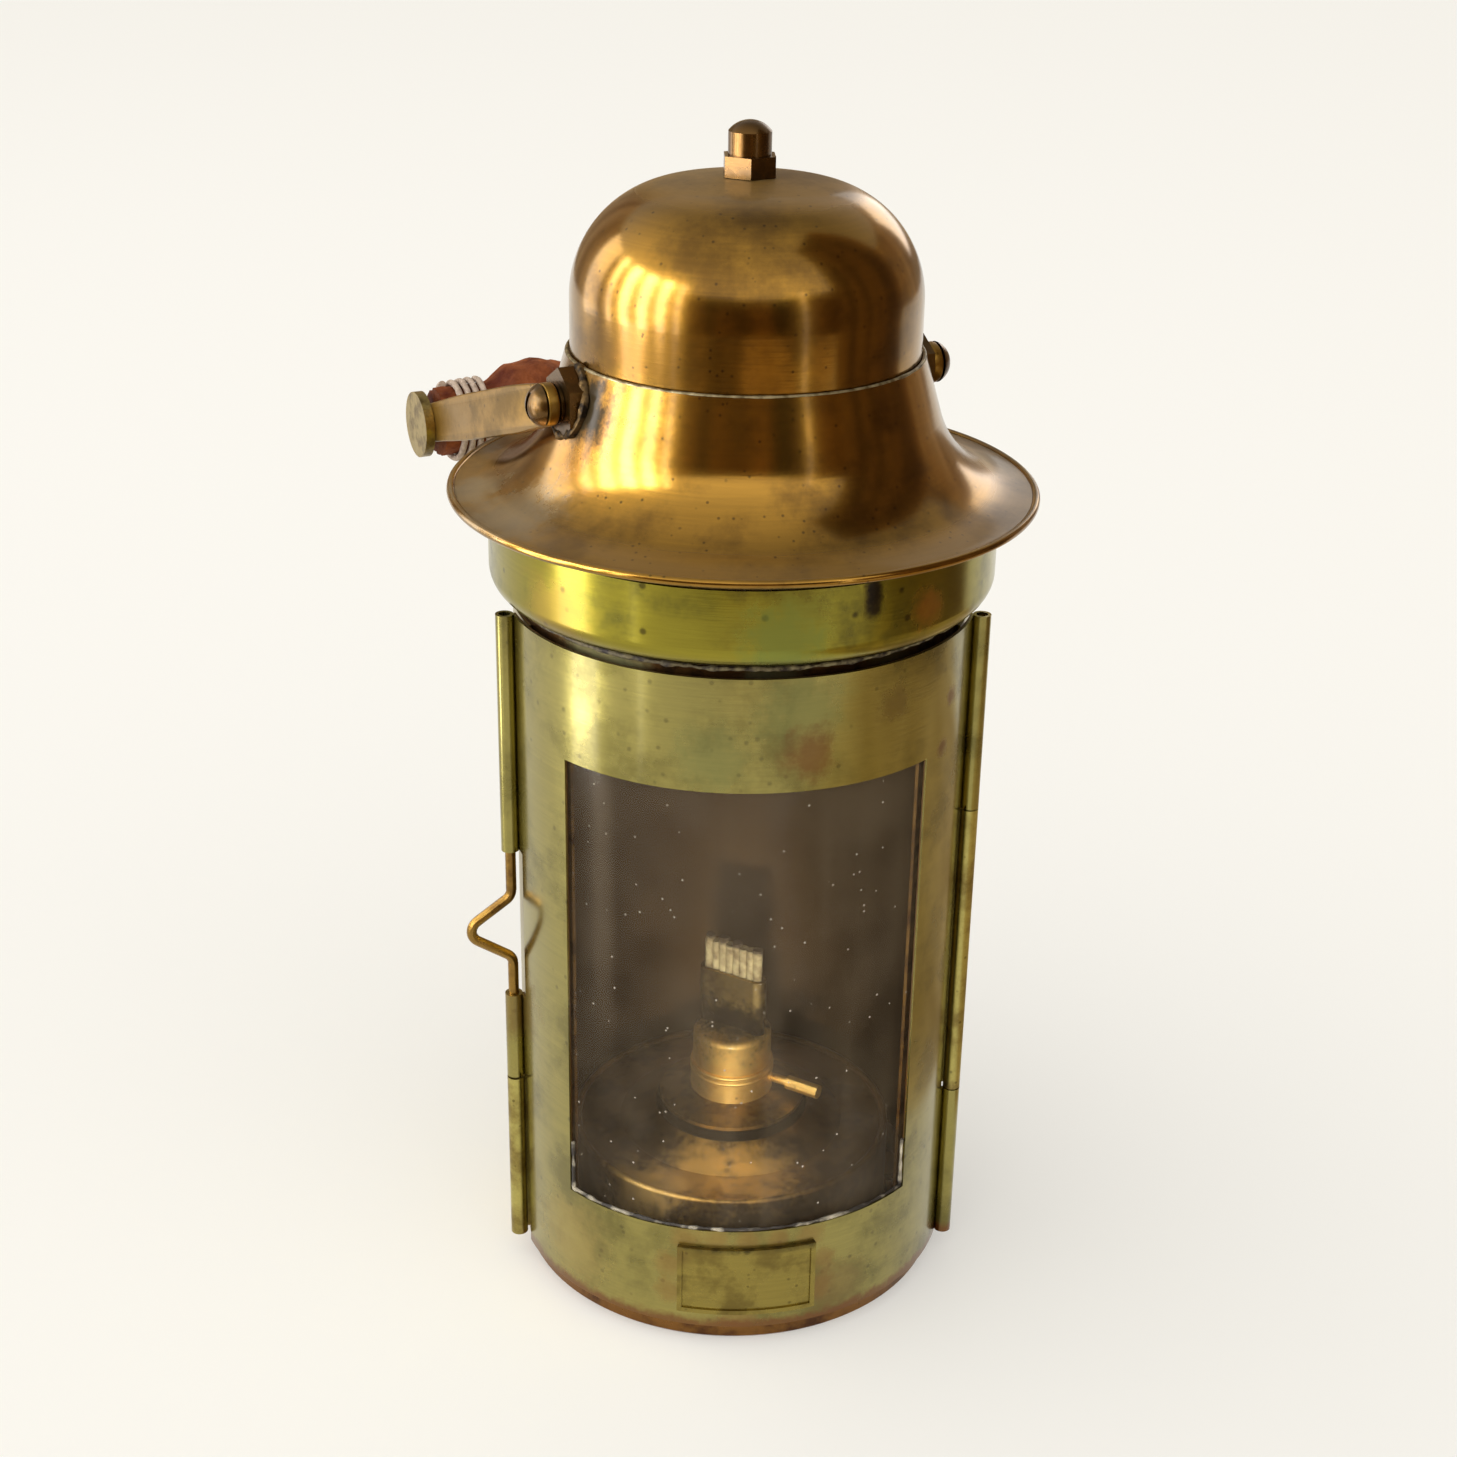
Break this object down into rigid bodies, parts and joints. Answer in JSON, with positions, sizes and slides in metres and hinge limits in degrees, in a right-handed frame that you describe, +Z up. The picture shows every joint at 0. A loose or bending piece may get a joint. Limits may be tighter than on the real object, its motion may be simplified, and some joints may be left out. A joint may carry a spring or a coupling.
{
  "type": "oil lantern",
  "caption": "Round brass oil lantern with a hinged glazed door, wire latch, bell-shaped hood under a dome, folding bail with a leather grip, and a flat-wick burner on an oil font.",
  "frame": {"origin": "centre of the base's flat underside", "axes": "+Z up along the body's axis, -Y towards the front of the door, +X towards the hinge"},
  "size_m": [0.1423, 0.162, 0.2673],
  "materials": {
    "hood_brass": "semi-gloss spun brass with a dark golden-brown patina",
    "body_brass": "semi-gloss sheet brass, olive-yellow with tarnish",
    "door_brass": "semi-gloss sheet brass, khaki-yellow with copper-brown stains",
    "base_brass": "spun brass, copper-brown tarnish",
    "inner_brass": "dull dark brass, soldered",
    "fitting_brass": "turned brass, brown-gold",
    "bail_brass": "flat bar brass, worn satin",
    "font_brass": "drawn brass, golden brown",
    "burner_brass": "drawn brass, bright golden",
    "window_glass": "clear bent pane, dusty",
    "grip_leather": "red-brown leather, worn and creased",
    "thong_leather": "pale grey leather thong",
    "wick_cotton": "woven cotton, charred at its top"
  },
  "bodies": {
    "lantern": {"base_pan": "base_brass", "font_seat": "inner_brass", "body_shell": "body_brass", "top_ring": "inner_brass", "body_knuckle": "body_brass", "latch_keeper": "body_brass", "hinge_pin": "fitting_brass", "collar": "body_brass", "hood_struts": "inner_brass", "bell": "hood_brass", "dome": "hood_brass", "cap_bridge": "inner_brass", "cap_stud": "inner_brass", "acorn_nut": "fitting_brass", "pivot_nuts": "fitting_brass", "pivot_screws": "fitting_brass"},
    "door": {"door_sheet": "door_brass", "window_glass": "window_glass", "glass_channels": "inner_brass", "glass_ledge": "inner_brass", "door_plate": "door_brass"},
    "latch": {"latch_pin": "fitting_brass"},
    "bail": {"bail_leg_left": "bail_brass", "bail_leg_right": "bail_brass", "grip_rod": "bail_brass", "grip_leather": "grip_leather", "grip_thongs": "thong_leather"},
    "font": {"font_bowl": "font_brass", "font_top": "font_brass", "font_collar": "font_brass", "burner_base": "burner_brass", "burner_cap": "burner_brass", "wick_tube": "burner_brass"},
    "spindle": {"wick_spindle": "burner_brass", "wick_wheels": "burner_brass", "wick_knob": "burner_brass"},
    "wick": {"wick": "wick_cotton"}
  },
  "joints": [
    {"name": "door_swing", "type": "hinge", "parent": "lantern", "child": "door", "pos_m": [0.05151, -0.01516, 0.0852], "axis": [0, 0, 1], "range_deg": [0, 160]},
    {"name": "latch_lift", "type": "slide", "parent": "door", "child": "latch", "axis": [0, 0, 1], "range_m": [0, 0.0095]},
    {"name": "bail_swing", "type": "hinge", "parent": "lantern", "child": "bail", "pos_m": [0, 0, 0.2125], "axis": [0.9205, 0.3907, 0], "range_deg": [0, 215.5]},
    {"name": "font_lift", "type": "slide", "parent": "lantern", "child": "font", "axis": [0, 0, 1], "range_m": [0, 0.012]},
    {"name": "knob_turn", "type": "hinge", "parent": "font", "child": "spindle", "pos_m": [0.00212, 0.00327, 0.0398], "axis": [-0.8387, 0.5446, 0], "range_deg": [-220, 120]},
    {"name": "wick_rise", "type": "slide", "parent": "font", "child": "wick", "axis": [0, 0, 1], "range_m": [-0.01036, 0.00565]}
  ],
  "couplings": [
    {"joint": "knob_turn", "follows": "wick_rise", "rad_per_m": 370.37}
  ]
}
